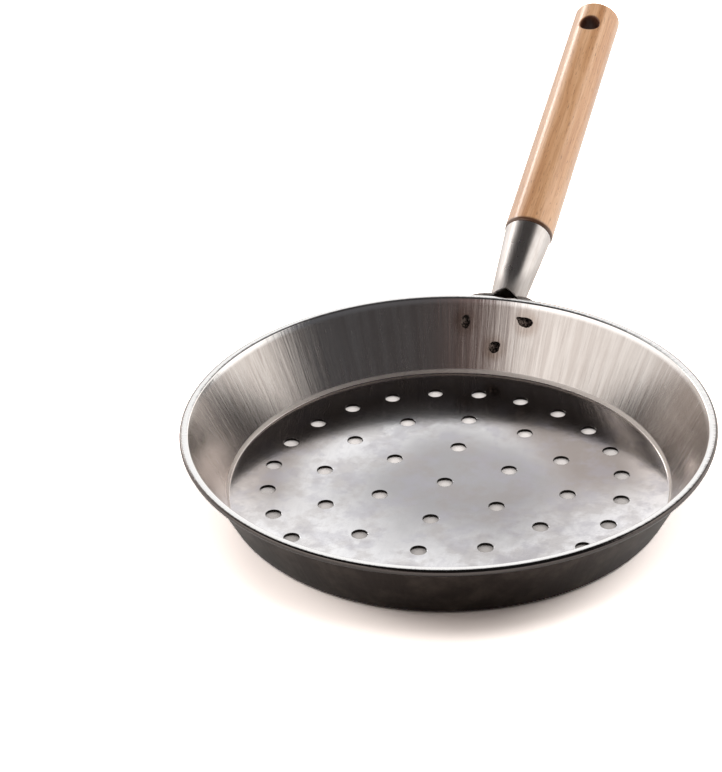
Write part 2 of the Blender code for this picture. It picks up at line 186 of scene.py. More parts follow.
# What the metal mirrors: a dark room above pale screens. Along the horizon 0.5 is the front,
# 0.75 the right, 0.25 the left, 0 and 1 behind; the screens' tops are elevations in degrees
MIRRORED_LIGHT = 1.22
ROOM = (0.028, 0.026, 0.027)
SCREENS = [(0.0, (0.90, 0.90, 0.90)), (0.04, (0.74, 0.73, 0.72)), (0.085, (1.38, 1.34, 1.31)),
           (0.125, (0.95, 0.90, 0.87)), (0.165, (0.90, 0.85, 0.82)), (0.21, (1.05, 1.01, 0.98)),
           (0.38, (1.22, 1.16, 1.12)), (0.445, (0.15, 0.098, 0.088)),
           (0.51, (0.075, 0.07, 0.072)), (0.688, (0.075, 0.075, 0.08)),
           (0.742, (1.14, 1.10, 1.06)), (0.845, (1.16, 1.12, 1.09)),
           (0.905, (1.38, 1.32, 1.28)), (0.95, (0.95, 0.92, 0.91)), (1.0, (0.90, 0.90, 0.90))]
SCREEN_TOPS = [(0.0, 42), (0.02, 41), (0.05, 33), (0.065, 34), (0.085, 53), (0.11, 54),
               (0.14, 34), (0.50, 30), (0.70, 32), (0.735, 48), (0.83, 48), (0.87, 38),
               (0.93, 31), (0.965, 34), (0.985, 39), (1.0, 42)]
SCREEN_BLUR = 0.05
# Lamps: azimuth and elevation in degrees, distance, size, watts, colour, and whether metal
# mirrors them
LAMP_AIM = Vector((0, 0, 0.05))
COOL, WARM = (1.0, 0.99, 0.98), (1.0, 0.98, 0.96)
LAMPS = {"lamp_top": (10, 76, 1.7, (0.5, 0.5), 3, COOL, False),
         "lamp_back_left": (-150, 27, 1.7, (0.5, 0.3), 3, COOL, True),
         "lamp_right": (104, 32, 1.6, (0.65, 1.0), 14, COOL, False),
         "lamp_left": (-95, 30, 1.7, (0.7, 0.7), 10, WARM, False)}

# Where looks change on the pan: radii round its middle, in metres
WALL_FROM = (0.1161, 0.1172)
# A painted highlight: a pale, rough band along the inner corner between floor and wall, over these
# radii
CORNER_HIGHLIGHT_LINE = (0.1163, 0.1165, 0.1172, 0.1177)
RIM_FROM = (0.1338, 0.1350)
# A painted dark reflection on the curl's outer face, left off at the back: radii where it starts
PAINTED_DARK_RIM_FROM = (0.13855, 0.1389)
CROWN_RADIUS = 0.114
CROWN_HEIGHT = 0.0021
# The floor is darker round this point near its middle, and turns paler between these two radii from
# it
DARK_FLOOR_MIDDLE = (0.008, -0.004)
DARK_FLOOR_FADE = (0.026, 0.097)
# Directions on the floor: towards the back and towards the right of the photograph
TO_BACK = (-0.28, 0.96)
TO_RIGHT = (0.96, 0.28)
# Painted reflections on the wall, a dark one at its right end and a pale one at its left: turn
# round the pan, strength and colour
PAINTED_WALL_REFLECTIONS = ((radians(72), 0.38, (0.27, 0.22, 0.19)),
                (radians(-104), 0.70, (0.93, 0.88, 0.85)))
PAINTED_REFLECTION_REACH = (radians(27), radians(8))
DRAWN_LINES_TURN = radians(-60)
DRAWN_LINES_REACH = (radians(18), radians(6))
WELD_HALO = 0.0065


def make_camera():
    turn = Matrix.Rotation(VIEW_TURN, 4, "Z")
    right = turn @ VIEW_RIGHT.normalized()
    back = (turn @ VIEW_RIGHT.cross(VIEW_UP)).normalized()
    up = back.cross(right)
    place = Matrix((right, up, back)).transposed().to_4x4()
    place.translation = PAN_PLACE @ (turn @ VIEW_PLACE)
    lens = bpy.data.cameras.new("camera")
    lens.sensor_fit = "AUTO"
    lens.sensor_width = SENSOR
    lens.lens = FOCAL_PIXELS / max(PHOTO_WIDTH, PHOTO_HEIGHT) * SENSOR
    lens.clip_start = 0.01
    lens.clip_end = 100
    camera = bpy.data.objects.new("camera", lens)
    bpy.context.collection.objects.link(camera)
    camera.matrix_world = place
    bpy.context.scene.camera = camera


# Node helpers

class Nodes:
    """A node tree with short calls: node() adds a node, sets it and links its inputs, which are
    named, or numbered as i0, i1 and so on."""

    def __init__(self, tree):
        self.tree = tree
        tree.nodes.clear()

    def node(self, kind, settings=None, **inputs):
        made = self.tree.nodes.new(kind)
        for key, value in (settings or {}).items():
            setattr(made, key, value)
        for key, value in inputs.items():
            self.set(made, key.replace("_", " "), value)
        return made

    def set(self, node, key, value):
        by_number = key[0] == "i" and key[1:].isdigit()
        socket = node.inputs[int(key[1:])] if by_number else node.inputs[key]
        if isinstance(value, bpy.types.NodeSocket):
            self.tree.links.new(value, socket)
        elif isinstance(value, (tuple, list)) and len(value) == 3 and socket.type == "RGBA":
            socket.default_value = (*value, 1)
        else:
            socket.default_value = value

    def math(self, operation, a, b=0.0, c=0.0):
        return self.node("ShaderNodeMath", {"operation": operation}, i0=a, i1=b, i2=c).outputs[0]

    def product(self, first, *others):
        for other in others:
            first = self.math("MULTIPLY", first, other)
        return first

    def total(self, first, *others):
        for other in others:
            first = self.math("ADD", first, other)
        return first

    def less(self, a, b):
        return self.math("SUBTRACT", a, b)

    def size(self, a):
        return self.math("ABSOLUTE", a)

    def mix(self, share, a, b):
        """From a to b, colours or plain numbers."""
        a, b = [(value,) * 3 if isinstance(value, float) else value for value in (a, b)]
        return self.node("ShaderNodeMix", {"data_type": "RGBA"}, i0=share, i6=a, i7=b).outputs[2]

    def ramp(self, value, stops):
        made = self.node("ShaderNodeValToRGB", i0=value)
        ramp = made.color_ramp
        while len(ramp.elements) < len(stops):
            ramp.elements.new(0.5)
        for element, (place, colour) in zip(ramp.elements, stops):
            element.position = place
            element.color = (*(colour if isinstance(colour, tuple) else [colour] * 3), 1)
        return made.outputs[0]

    def span(self, value, low, high, to_low=0.0, to_high=1.0):
        """Maps low to high onto a new range, in a straight line."""
        made = self.node("ShaderNodeMapRange", {"clamp": True}, i0=value, i1=low, i2=high,
                         i3=to_low, i4=to_high)
        return made.outputs[0]

    def ease(self, value, low, high):
        """Zero at low and one at high, with soft ends."""
        made = self.node("ShaderNodeMapRange", {"clamp": True, "interpolation_type": "SMOOTHSTEP"},
                         i0=value, i1=low, i2=high, i3=0.0, i4=1.0)
        return made.outputs[0]

    def along(self, x, y, direction):
        return self.total(self.product(x, direction[0]), self.product(y, direction[1]))

    def noise(self, vector, scale, detail=3.0, roughness=0.5):
        made = self.node("ShaderNodeTexNoise", Vector=vector, Scale=scale, Detail=detail,
                         Roughness=roughness)
        return made.outputs[0]

    def stretch(self, vector, scale, rotation=(0, 0, 0), location=(0, 0, 0)):
        return self.node("ShaderNodeMapping", Vector=vector, Scale=scale, Rotation=rotation,
                         Location=location).outputs[0]

    def join(self, x, y, z):
        return self.node("ShaderNodeCombineXYZ", X=x, Y=y, Z=z).outputs[0]

    def split(self, vector):
        return self.node("ShaderNodeSeparateXYZ", Vector=vector).outputs

    def length(self, x, y):
        return self.math("SQRT", self.total(self.product(x, x), self.product(y, y)))

    def near(self, vector, point, inner, outer):
        """One within the inner distance of a point, falling to zero at the outer one."""
        away = self.node("ShaderNodeVectorMath", {"operation": "DISTANCE"}, i0=vector, i1=point)
        return self.ease(away.outputs["Value"], outer, inner)

    def place_in(self, axes):
        """Object coordinates seen from a piece's own axes."""
        back = axes.inverted()
        return self.stretch(self.node("ShaderNodeTexCoord").outputs["Object"], (1, 1, 1),
                            tuple(back.to_euler()), tuple(back.translation))

    def object_normal(self):
        world = self.node("ShaderNodeNewGeometry").outputs["Normal"]
        turn = {"vector_type": "NORMAL", "convert_from": "WORLD", "convert_to": "OBJECT"}
        return self.node("ShaderNodeVectorTransform", turn, Vector=world).outputs[0]

    def bump(self, strength, distance, height, **inputs):
        return self.node("ShaderNodeBump", Strength=strength, Distance=distance, Height=height,
                         **inputs).outputs[0]

    def principled(self, **inputs):
        shader = self.node("ShaderNodeBsdfPrincipled", **inputs)
        self.node("ShaderNodeOutputMaterial", Surface=shader.outputs[0])


def new_material(name):
    made = bpy.data.materials.new(name)
    made.use_nodes = True
    return made, Nodes(made.node_tree)


# Materials

def floor_colour(n, place, radius, mottle):
    """The pan's floor: darker round its middle, darkened at the back partly by a smoky patina and
    partly by a painted dark reflection of the room above, clouded all over.
    """
    x, y, _ = n.split(place)
    cloud = n.noise(place, 11, 4, 0.6)
    tint = n.noise(n.stretch(place, (1, 1, 1), location=(0.3, 0.2, 0)), 55, 4, 0.65)
    rolled = n.noise(n.stretch(place, (420, 60, 1), (0, 0, 0.9)), 1.0, 3, 0.6)

    from_middle = n.length(n.total(x, -DARK_FLOOR_MIDDLE[0]), n.total(y, -DARK_FLOOR_MIDDLE[1]))
    bright = n.ease(n.total(from_middle, n.span(cloud, 0.3, 0.7, -0.015, 0.015)), *DARK_FLOOR_FADE)
    colour = n.mix(bright, (0.37, 0.36, 0.365), (0.93, 0.92, 0.93))

    # Darkening at the back, reaching further to the right: partly smoky patina, partly a painted
    # dark reflection of the room above
    wider_right = n.product(n.ease(n.along(x, y, TO_RIGHT), -0.01, 0.07), 0.028)
    smoky_and_reflection_reach = n.total(radius, n.span(cloud, 0.3, 0.7, -0.005, 0.005), wider_right)
    smoky_and_painted_reflection = n.product(n.ease(smoky_and_reflection_reach, 0.062, 0.098),
                       n.ease(n.along(x, y, TO_BACK), -0.048, 0.010))
    smoky_and_reflection_colour = n.mix(n.ease(radius, 0.090, 0.114), (0.33, 0.29, 0.27), (0.66, 0.60, 0.57))
    colour = n.mix(smoky_and_painted_reflection, colour, smoky_and_reflection_colour)

    brown, blue, grey = (0.36, 0.315, 0.295), (0.40, 0.385, 0.44), (0.38, 0.38, 0.40)
    colour = n.mix(n.product(n.ease(mottle, 0.44, 0.62), 0.34), colour, brown)
    colour = n.mix(n.product(n.ease(tint, 0.46, 0.64), 0.35), colour, blue)
    return n.mix(n.span(rolled, 0.50, 0.80, 0, 0.16), colour, grey)


def wall_colour(n, place, turn, broad_streak, streak, mottle):
    """The pan's wall: streaks up its slope, painted reflections at its ends, heat marks round the
    welds.
    """
    colour = n.mix(n.ease(broad_streak, 0.3, 0.7), (0.52, 0.48, 0.455), (0.64, 0.61, 0.585))
    colour = n.mix(n.span(streak, 0.52, 0.75, 0, 0.35), colour, (0.44, 0.385, 0.355))
    from_lines = n.size(n.less(turn, DRAWN_LINES_TURN))
    near_lines = n.ease(from_lines, *DRAWN_LINES_REACH)
    drawn = n.product(near_lines, n.ease(broad_streak, 0.50, 0.62), 0.42)
    colour = n.mix(drawn, colour, (0.27, 0.22, 0.20))
    colour = n.mix(n.span(mottle, 0.55, 0.8, 0, 0.25), colour, (0.43, 0.37, 0.34))
    # Painted reflections at the wall's ends, broken up by the mottle: darker at the right end,
    # paler at the left
    for middle, strength, shade in PAINTED_WALL_REFLECTIONS:
        reach = n.ease(n.size(n.less(turn, middle)), *PAINTED_REFLECTION_REACH)
        colour = n.mix(n.product(reach, n.ease(mottle, 0.30, 0.52), strength), colour, shade)
    for across, up, half_width, half_height, _, _ in WELDS.values():
        spot = weld_frame(across, up) @ Vector((0, 0, SHEET))
        bead = max(half_width, half_height)
        halo = n.near(place, tuple(spot), bead, bead + WELD_HALO)
        colour = n.mix(n.product(halo, n.span(mottle, 0.3, 0.7, 0.25, 0.75)), colour,
                       (0.30, 0.22, 0.17))
    return colour


def pan_steel():
    """Bare carbon steel: satin floor, wall with fine streaks up its slope, polished rim, a painted
    highlight in the inner corner, a painted dark reflection on the curl's outer face, painted shade
    on the holes' cut faces and a darker underside."""
    made, n = new_material("pan_steel_look")
    place = n.place_in(PAN_PLACE)
    x, y, height = n.split(place)
    radius = n.length(x, y)
    turn = n.math("ARCTAN2", x, y)

    mottle = n.noise(place, 42, 4, 0.65)
    fine = n.noise(n.stretch(place, (1, 1, 1), (0, 0, 0.6)), 230, 4, 0.65)
    broad_streak, streak, hair = [
        n.noise(n.join(n.product(turn, across), n.product(height, up), seed), 1.0, detail, soft)
        for across, up, seed, detail, soft in ((34.0, 16.0, 1.0, 4, 0.6),
                                               (120.0, 26.0, 5.0, 4, 0.65),
                                               (420.0, 60.0, 9.0, 3, 0.6))]

    wall = n.ease(radius, *WALL_FROM)
    rim = n.ease(radius, *RIM_FROM)
    # Painted highlight along the inner corner between floor and wall
    inner, inner_full, outer_full, outer = CORNER_HIGHLIGHT_LINE
    corner = n.product(n.ease(radius, inner, inner_full), n.ease(radius, outer, outer_full))
    # Painted dark reflection on the curl's outer face, everywhere but at the back
    painted_dark_rim = n.product(n.ease(radius, *PAINTED_DARK_RIM_FROM),
                          n.ease(n.along(x, y, TO_BACK), 0.128, 0.108))
    facing_up = n.split(n.object_normal())[2]
    outside = n.product(n.ease(facing_up, -0.30, -0.42), n.ease(height, 0.0350, 0.0335))
    # Painted shade: the holes' cut faces are made near black
    painted_shade_in_holes = n.product(n.ease(n.size(facing_up), 0.90, 0.70), n.ease(radius, 0.1120, 0.1100))
    outside_colour = n.mix(n.ease(mottle, 0.4, 0.7), (0.060, 0.043, 0.036), (0.120, 0.092, 0.076))

    colour = n.mix(wall, floor_colour(n, place, radius, mottle),
                   wall_colour(n, place, turn, broad_streak, streak, mottle))
    for share, shade in ((corner, (0.92, 0.87, 0.83)), (rim, (0.88, 0.87, 0.86)),
                         (painted_dark_rim, (0.13, 0.115, 0.108)), (outside, outside_colour),
                         (painted_shade_in_holes, (0.012, 0.010, 0.009))):
        colour = n.mix(share, colour, shade)

    rough = n.mix(wall, n.span(mottle, 0.3, 0.7, 0.10, 0.15), n.span(streak, 0.3, 0.7, 0.17, 0.29))
    dark = n.math("MAXIMUM", outside, painted_shade_in_holes)
    for share, roughness in ((corner, 0.60), (rim, 0.14), (dark, 0.34)):
        rough = n.mix(share, rough, roughness)

    floor_bump = n.total(n.product(fine, 0.10), n.product(mottle, 0.20))
    wall_bump = n.total(broad_streak, n.product(streak, 0.30), n.product(hair, 0.07))
    crown = n.bump(1.0, CROWN_HEIGHT, n.ease(radius, CROWN_RADIUS, 0.0))
    bump = n.bump(0.5, 0.0003, n.mix(wall, floor_bump, wall_bump), Normal=crown)
    n.principled(Base_Color=colour, Metallic=1.0, Roughness=rough, Normal=bump)
    return made


def socket_steel():
    """Shiny rolled sheet with drawing lines along the socket, duller at its foot."""
    made, n = new_material("socket_steel_look")
    place = n.place_in(HANDLE_PLACE)
    lines = n.noise(n.stretch(place, (520, 520, 40)), 1.0, 3, 0.6)
    cloud = n.noise(place, 70, 4, 0.65)
    colour = n.mix(n.ease(lines, 0.3, 0.7), (0.64, 0.60, 0.57), (0.75, 0.72, 0.70))
    colour = n.mix(n.span(cloud, 0.52, 0.75, 0, 0.30), colour, (0.48, 0.41, 0.36))
    foot = n.ease(n.split(n.place_in(PAN_PLACE))[2], 0.050, 0.043)
    rough = n.mix(foot, n.span(cloud, 0.3, 0.7, 0.26, 0.32), 0.60)
    bump = n.bump(0.2, 0.0002, n.total(n.product(lines, 0.5), n.product(cloud, 0.25)))
    n.principled(Base_Color=colour, Metallic=1.0, Roughness=rough, Normal=bump)
    return made


def weld_steel():
    """Heat-darkened bead with a glassy, pitted skin."""
    made, n = new_material("weld_look")
    place = n.place_in(PAN_PLACE)
    cloud = n.noise(place, 900, 3, 0.6)
    pits = n.noise(place, 2600, 2, 0.6)
    colour = n.mix(n.ease(cloud, 0.42, 0.62), (0.030, 0.024, 0.021), (0.20, 0.16, 0.14))
    bump = n.bump(0.6, 0.0003, n.total(cloud, n.product(pits, 0.4)))
    n.principled(Base_Color=colour, Metallic=1.0, Roughness=n.span(cloud, 0.3, 0.7, 0.20, 0.42),
                 Normal=bump)
    return made


def plain_steel():
    """The screw: bare steel, faintly clouded."""
    made, n = new_material("screw_look")
    cloud = n.noise(n.place_in(HANDLE_PLACE), 900, 3, 0.6)
    colour = n.mix(n.ease(cloud, 0.3, 0.7), (0.42, 0.41, 0.40), (0.60, 0.59, 0.58))
    n.principled(Base_Color=colour, Metallic=1.0, Roughness=n.span(cloud, 0.3, 0.7, 0.22, 0.38))
    return made


def beech():
    """Turned beech: grain along Z, short dark flecks, painted shade at the shoulder, clear lacquer.
    """
    made, n = new_material("beech_look")
    place = n.place_in(HANDLE_PLACE)
    x, _, along = n.split(place)
    wander = n.noise(n.stretch(place, (30, 30, 9)), 1.0, 3, 0.5)
    drift = n.join(n.span(wander, 0, 1, -0.005, 0.005), n.span(wander, 0, 1, 0.004, -0.004), 0.0)
    bent = n.node("ShaderNodeVectorMath", {"operation": "ADD"}, i0=place, i1=drift).outputs[0]
    rings = n.noise(n.stretch(bent, (210, 120, 7)), 1.0, 3, 0.55)
    fibre = n.noise(n.stretch(bent, (1100, 1100, 34)), 1.0, 3, 0.6)
    flecks = n.noise(n.stretch(bent, (1700, 1700, 210), location=(3, 7, 1)), 1.0, 2, 0.5)
    colour = n.ramp(rings, [(0.28, (0.50, 0.235, 0.100)), (0.5, (0.64, 0.345, 0.170)),
                            (0.72, (0.78, 0.47, 0.265))])
    colour = n.mix(n.span(fibre, 0.48, 0.72, 0, 0.55), colour, (0.40, 0.185, 0.075))
    colour = n.mix(n.span(flecks, 0.62, 0.70, 0, 0.6), colour, (0.24, 0.11, 0.05))

    shoulder, end = SOCKET_MOUTH + GAP, SOCKET_MOUTH + HANDLE_LENGTH
    # Painted shade: a dark band on the rounded shoulder where the wood meets the socket's mouth
    painted_shade_at_shoulder = n.ease(along, shoulder + 0.0034, shoulder + 0.0014)
    colour = n.mix(n.product(painted_shade_at_shoulder, 0.92), colour, (0.085, 0.032, 0.013))
    from_hole = n.length(x, n.less(along, end - HANG_HOLE_FROM_END))
    # Painted shade inside the hang hole
    painted_shade_in_hang_hole = n.ease(from_hole, HANG_HOLE_RADIUS + 0.0009, HANG_HOLE_RADIUS + 0.0001)
    colour = n.mix(painted_shade_in_hang_hole, colour, (0.16, 0.065, 0.035))
    end_grain = n.ease(along, end - 0.0035, end)
    colour = n.mix(n.product(end_grain, 0.5), colour, (0.36, 0.20, 0.10))
    n.principled(Base_Color=colour, Roughness=n.span(fibre, 0.3, 0.7, 0.36, 0.48),
                 Coat_Weight=0.95, Coat_Roughness=0.20, Normal=n.bump(0.15, 0.0002, fibre))
    return made


# Mesh helpers

def add_piece(name, builder, look, node, place, sharp_angle=SHARP_ANGLE):
    """A visible piece from a mesh at its place, standing in for its CAD node."""
    bmesh.ops.transform(builder, matrix=place, verts=builder.verts)
    bmesh.ops.recalc_face_normals(builder, faces=builder.faces)
    mesh = bpy.data.meshes.new(name)
    builder.to_mesh(mesh)
    builder.free()
    mesh.shade_smooth()
    mesh.set_sharp_from_angle(angle=radians(sharp_angle))
    mesh.materials.append(look)
    made = bpy.data.objects.new(name, mesh)
    bpy.context.collection.objects.link(made)
    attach(made, "root")
    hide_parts(node)
    return made


def revolve(outline, sides, builder=None, place=None):
    """Turns an outline of (radius, height) points about Z; radius zero makes a pole."""
    builder = builder or bmesh.new()
    place = place or Matrix.Identity(4)
    rings = []
    for radius, height in outline:
        if radius <= 0:
            rings.append([builder.verts.new(place @ Vector((0, 0, height)))])
            continue
        turns = [2 * pi * k / sides for k in range(sides)]
        rings.append([builder.verts.new(place @ Vector((radius * cos(a), radius * sin(a), height)))
                      for a in turns])
    for lower, upper in zip(rings, rings[1:]):
        for k in range(sides):
            corners = [lower[k % len(lower)], lower[(k + 1) % len(lower)],
                       upper[(k + 1) % len(upper)], upper[k % len(upper)]]
            builder.faces.new(list(dict.fromkeys(corners)))
    return builder, rings


def arc(centre, radius, start, end, steps):
    """Outline points on an arc, its two ends included."""
    angles = [start + (end - start) * k / steps for k in range(steps + 1)]
    return [(centre[0] + radius * cos(a), centre[1] + radius * sin(a)) for a in angles]


def between(first, last, steps):
    """Points of a straight line in an outline, without its two ends."""
    first, last = Vector(first), Vector(last)
    return [tuple(first.lerp(last, k / steps)) for k in range(1, steps)]


def cut_now(target, builder, place):
    """Takes a closed mesh out of a piece and keeps the result as the piece's mesh."""
    bmesh.ops.recalc_face_normals(builder, faces=builder.faces)
    mesh = bpy.data.meshes.new("cutter")
    builder.to_mesh(mesh)
    builder.free()
    cutter = bpy.data.objects.new("cutter", mesh)
    bpy.context.collection.objects.link(cutter)
    cutter.matrix_world = place
    step = target.modifiers.new("cut", "BOOLEAN")
    step.operation = "DIFFERENCE"
    step.solver = "EXACT"
    step.object = cutter
    bpy.context.view_layer.update()
    result = bpy.data.meshes.new_from_object(
        target.evaluated_get(bpy.context.evaluated_depsgraph_get()))
    target.modifiers.clear()
    old = target.data
    target.data = result
    bpy.data.meshes.remove(old)
    bpy.data.objects.remove(cutter, do_unlink=True)
    bpy.data.meshes.remove(mesh)


def even_shading(target, sharp_angle=SHARP_ANGLE):
    target.data.shade_smooth()
    target.data.set_sharp_from_angle(angle=radians(sharp_angle))
    step = target.modifiers.new("even_shading", "WEIGHTED_NORMAL")
    step.keep_sharp = True
    step.weight = 100


# Places on the wall

def wall_radius(height):
    """Radius of the wall's outer face at a height."""
    foot_radius = CORNER_CENTRE.x + CORNER_RADIUS * cos(WALL_FLARE)
    foot_height = CORNER_CENTRE.y - CORNER_RADIUS * sin(WALL_FLARE)
    return foot_radius + (height - foot_height) * tan(WALL_FLARE)


def wall_point(across, up, lift):
    """A point over the wall's outer face: round it, up its slope and off it."""
    height = FLANGE_HEIGHT + up * cos(WALL_FLARE)
    radius = wall_radius(height)
    turn = across / radius - FLANGE_TURN
    out = radius + lift * cos(WALL_FLARE)
    return Vector((out * sin(turn), out * cos(turn), height - lift * sin(WALL_FLARE)))


def weld_frame(across, up):
    """Axes at a weld: origin on the wall's outer face, Z into the pan, X round it, Y up it."""
    origin = wall_point(across, up, 0)
    turn = atan2(origin.x, origin.y)
    round_wall = Vector((cos(turn), -sin(turn), 0))
    inward = Vector((-sin(turn) * cos(WALL_FLARE), -cos(turn) * cos(WALL_FLARE), sin(WALL_FLARE)))
    up_wall = inward.cross(round_wall)
    place = Matrix((round_wall, up_wall, inward)).transposed().to_4x4()
    place.translation = origin
    return place


def cut_weld_bores(piece):
    """The holes that the weld stems fill, through the wall and the socket's flange."""
    bore, low, high = WELD_STEM_RADIUS + GAP, -(GAP + SOCKET_SHEET + OVERRUN), SHEET + OVERRUN
    for across, up, *_ in WELDS.values():
        builder, _ = revolve([(0, low), (bore, low), (bore, high), (0, high)], WELD_BORE_SIDES)
        cut_now(piece, builder, PAN_PLACE @ weld_frame(across, up))


# Pan

def flattened_curl(start, start_turn):
    """The curl's shown face: its top is pressed flatter than a round bead."""
    x, height = start
    points = [(x, height)]
    x += CURL_STRAIGHT * sin(start_turn)
    height -= CURL_STRAIGHT * cos(start_turn)
    points.append((x, height))
    turn = start_turn
    for end_degrees, bend_radius, steps in CURL_BENDS:
        step = (turn - radians(end_degrees)) / steps
        for _ in range(steps):
            x += bend_radius * (cos(turn - step) - cos(turn))
            height += bend_radius * (sin(turn - step) - sin(turn))
            turn -= step
            points.append((x, height))
    return points


def side_path(corner_radius, curl_radius, floor_height, shown):
    """One face of the sheet, from the floor's flat edge up the wall and round the curl. The
    shown face has a sharper crease and a flatter curl."""
    curl_start = pi - WALL_FLARE
    corner = arc(CORNER_CENTRE, corner_radius, -pi / 2, -WALL_FLARE, 9)
    curl = arc(CURL_CENTRE, curl_radius, curl_start, curl_start - CURL_SWEEP, 28)
    if shown:
        wall_x, wall_height = corner[-1]
        foot = Vector((wall_x - (wall_height - floor_height) * tan(WALL_FLARE), floor_height))
        crease_centre = foot.lerp(CORNER_CENTRE, CREASE_RADIUS / corner_radius)
        corner = arc(crease_centre, CREASE_RADIUS, -pi / 2, -WALL_FLARE, 6)
        curl = flattened_curl(curl[0], curl_start)
    corner[0] = (corner[0][0], floor_height)
    return corner + between(corner[-1], curl[0], 6) + curl


def hole_places():
    places = [(0.0, 0.0)]
    for radius, count in zip(RING_RADII, RING_COUNTS):
        turns = [pi / 2 + PATTERN_TURN + 2 * pi * k / count for k in range(count)]
        places += [(radius * cos(turn), radius * sin(turn)) for turn in turns]
    return [(x + PATTERN_SHIFT[0], y + PATTERN_SHIFT[1]) for x, y in places]


def make_pan():
    inside = side_path(CORNER_RADIUS - SHEET, CURL_RADIUS, SHEET, shown=True)
    outside = side_path(CORNER_RADIUS, CURL_RADIUS - SHEET, 0, shown=False)
    builder, rings = revolve(inside + outside[::-1], PAN_SIDES)
    builder.faces.new(rings[0])
    builder.faces.new(rings[-1])
    pan = add_piece("pan_shell", builder, pan_steel(), "pan_body", PAN_PLACE)
    punch = bmesh.new()
    side = [(0, -OVERRUN), (HOLE_RADIUS, -OVERRUN)]
    side += arc((HOLE_RADIUS + HOLE_LIP, SHEET - HOLE_LIP), HOLE_LIP, pi, pi / 2, 3)
    side += [(HOLE_RADIUS + HOLE_LIP, SHEET + OVERRUN), (0, SHEET + OVERRUN)]
    for x, y in hole_places():
        revolve(side, HOLE_SIDES, punch, Matrix.Translation((x, y, 0)))
    cut_now(pan, punch, PAN_PLACE)
    cut_weld_bores(pan)
    even_shading(pan)


# Socket

def socket_radius(along):
    """The cone's outer radius at a distance along the handle line."""
    share = (along - NOTCH_FOOT) / (SOCKET_MOUTH - NOTCH_FOOT)
    return SOCKET_NECK_RADIUS + (SOCKET_MOUTH_RADIUS - SOCKET_NECK_RADIUS) * share


def socket_half_angle():
    return atan2(SOCKET_MOUTH_RADIUS - SOCKET_NECK_RADIUS, SOCKET_MOUTH - NOTCH_FOOT)


def cone_point(along, turn):
    radius = socket_radius(along)
    return HANDLE_LINE @ Vector((radius * sin(turn), radius * cos(turn), along))


def landing(share):
    """Where the flared sheet meets the wall, as (across, up)."""
    middle = (1 - share ** 2) ** 4
    up = LANDING_RISE - LANDING_CENTRE_DROP * middle - LANDING_EAR_DROP * share ** 8
    return Vector((LANDING_HALF_WIDTH * share, up))


def flange_edge(share):
    """Edge of the flange on the wall: a tongue below, an ear on each side."""
    turn = abs(share) * pi / 2
    power = 2 / FLANGE_FULLNESS_SHARE
    across = FLANGE_HALF_WIDTH * sin(turn) ** power
    drop = FLANGE_DROP * cos(turn) ** power if abs(share) < 1 else 0
    return Vector((across if share > 0 else -across, -drop))


def flare_curve(share, t):
    """From the cone's end to the wall, bent round below the rim's curl."""
    start = cone_point(NOTCH_FOOT, share * NOTCH_HALF_ANGLE)
    end_flat = landing(share)
    end = wall_point(end_flat.x, end_flat.y, GAP + SOCKET_SHEET)
    lift = BEND_LIFT_MIDDLE + (BEND_LIFT_EAR - BEND_LIFT_MIDDLE) * share ** 2
    up = end_flat.y + BEND_UP_MIDDLE + (BEND_UP_EAR - BEND_UP_MIDDLE) * share ** 8
    bend = wall_point(end_flat.x, up, lift)
    return start * (1 - t) ** 2 + bend * (2 * t * (1 - t)) + end * t * t


def row_normal(rows, i, j):
    """Direction out of the sheet at a grid point, from its neighbours."""
    last_row, last_column = len(rows) - 1, len(rows[0]) - 1
    along = rows[min(i + 1, last_row)][j] - rows[max(i - 1, 0)][j]
    across = rows[i][min(j + 1, last_column)] - rows[i][max(j - 1, 0)]
    return across.cross(along).normalized()


def socket_faces(columns, cone_steps, notch_steps, flare_steps, flange_steps):
    """Outer and inner face of the socket as rows of points, from its mouth to its flange."""
    shares = [-1 + 2 * k / columns for k in range(columns + 1)]
    outer = []
    for k in range(cone_steps + 1):
        along = SOCKET_MOUTH + (NOTCH_TOP - SOCKET_MOUTH) * k / cone_steps
        half_turn = pi - SEAM_GAP / 2 / socket_radius(along)
        outer.append([cone_point(along, share * half_turn) for share in shares])
    for k in range(1, notch_steps + 1):
        along = NOTCH_TOP + (NOTCH_FOOT - NOTCH_TOP) * k / notch_steps
        half_turn = pi + (NOTCH_HALF_ANGLE - pi) * k / notch_steps
        outer.append([cone_point(along, share * half_turn) for share in shares])
    for k in range(1, flare_steps + 1):
        outer.append([flare_curve(share, k / flare_steps) for share in shares])
    inner = [[outer[i][j] - row_normal(outer, i, j) * SOCKET_SHEET for j in range(len(shares))]
             for i in range(len(outer) - 1)]
    for k in range(flange_steps + 1):
        reach = (k / flange_steps) ** 1.5
        spots = [landing(share).lerp(flange_edge(share), reach) for share in shares]
        inner.append([wall_point(spot.x, spot.y, GAP) for spot in spots])
        if k > 0:
            outer.append([wall_point(spot.x, spot.y, GAP + SOCKET_SHEET) for spot in spots])
    return outer, inner


def screw_in_handle():
    """Screw's place in the handle's own axes: on the socket's lowest line, pointing at the axis."""
    along = SOCKET_MOUTH - SCREW_FROM_MOUTH
    lean = Matrix.Rotation(pi / 2 - socket_half_angle(), 4, "X")
    return Matrix.Translation((0, socket_radius(along), along)) @ lean


